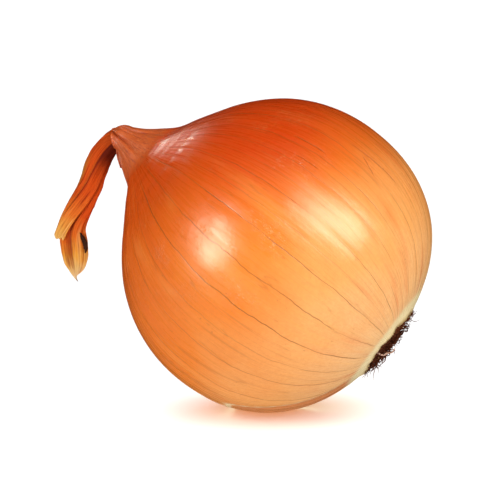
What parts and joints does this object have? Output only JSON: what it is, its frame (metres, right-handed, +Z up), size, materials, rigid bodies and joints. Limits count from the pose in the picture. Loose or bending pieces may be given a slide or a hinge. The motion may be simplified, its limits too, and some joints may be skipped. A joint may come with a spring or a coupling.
{
  "type": "yellow onion",
  "caption": "Whole yellow onion lying on its side, with its dry neck folded over and a tuft of dry roots.",
  "frame": {"origin": "centre of the small flat spot on the bulb's underside that it rests on", "axes": "+Z up; +X over the ground towards the root end; the bulb's axis lies in the XZ plane, its neck up towards -X"},
  "size_m": [0.1026, 0.086, 0.0852],
  "materials": {
    "skin": "satin",
    "dry_leaf": "satin",
    "pale_leaf": "matte",
    "dead_leaf": "matte",
    "cork": "matte",
    "root_bark": "matte"
  },
  "bodies": {
    "root": {"bulb": "skin", "neck_leaf_outer": "dry_leaf", "neck_leaf_inner": "pale_leaf", "neck_leaf_scrap": "dead_leaf", "root_plate": "cork", "root_01": "root_bark", "root_02": "root_bark", "root_03": "root_bark", "root_04": "root_bark", "root_05": "root_bark", "root_06": "root_bark", "root_07": "root_bark", "root_08": "root_bark", "root_09": "root_bark", "root_10": "root_bark", "root_11": "root_bark", "root_12": "root_bark", "root_13": "root_bark", "root_14": "root_bark", "root_15": "root_bark", "root_16": "root_bark", "root_17": "root_bark", "root_18": "root_bark", "root_19": "root_bark", "root_20": "root_bark", "root_21": "root_bark", "root_22": "root_bark", "root_23": "root_bark", "root_24": "root_bark", "root_25": "root_bark", "root_26": "root_bark", "root_27": "root_bark", "root_28": "root_bark", "root_29": "root_bark", "root_30": "root_bark"}
  },
  "joints": []
}
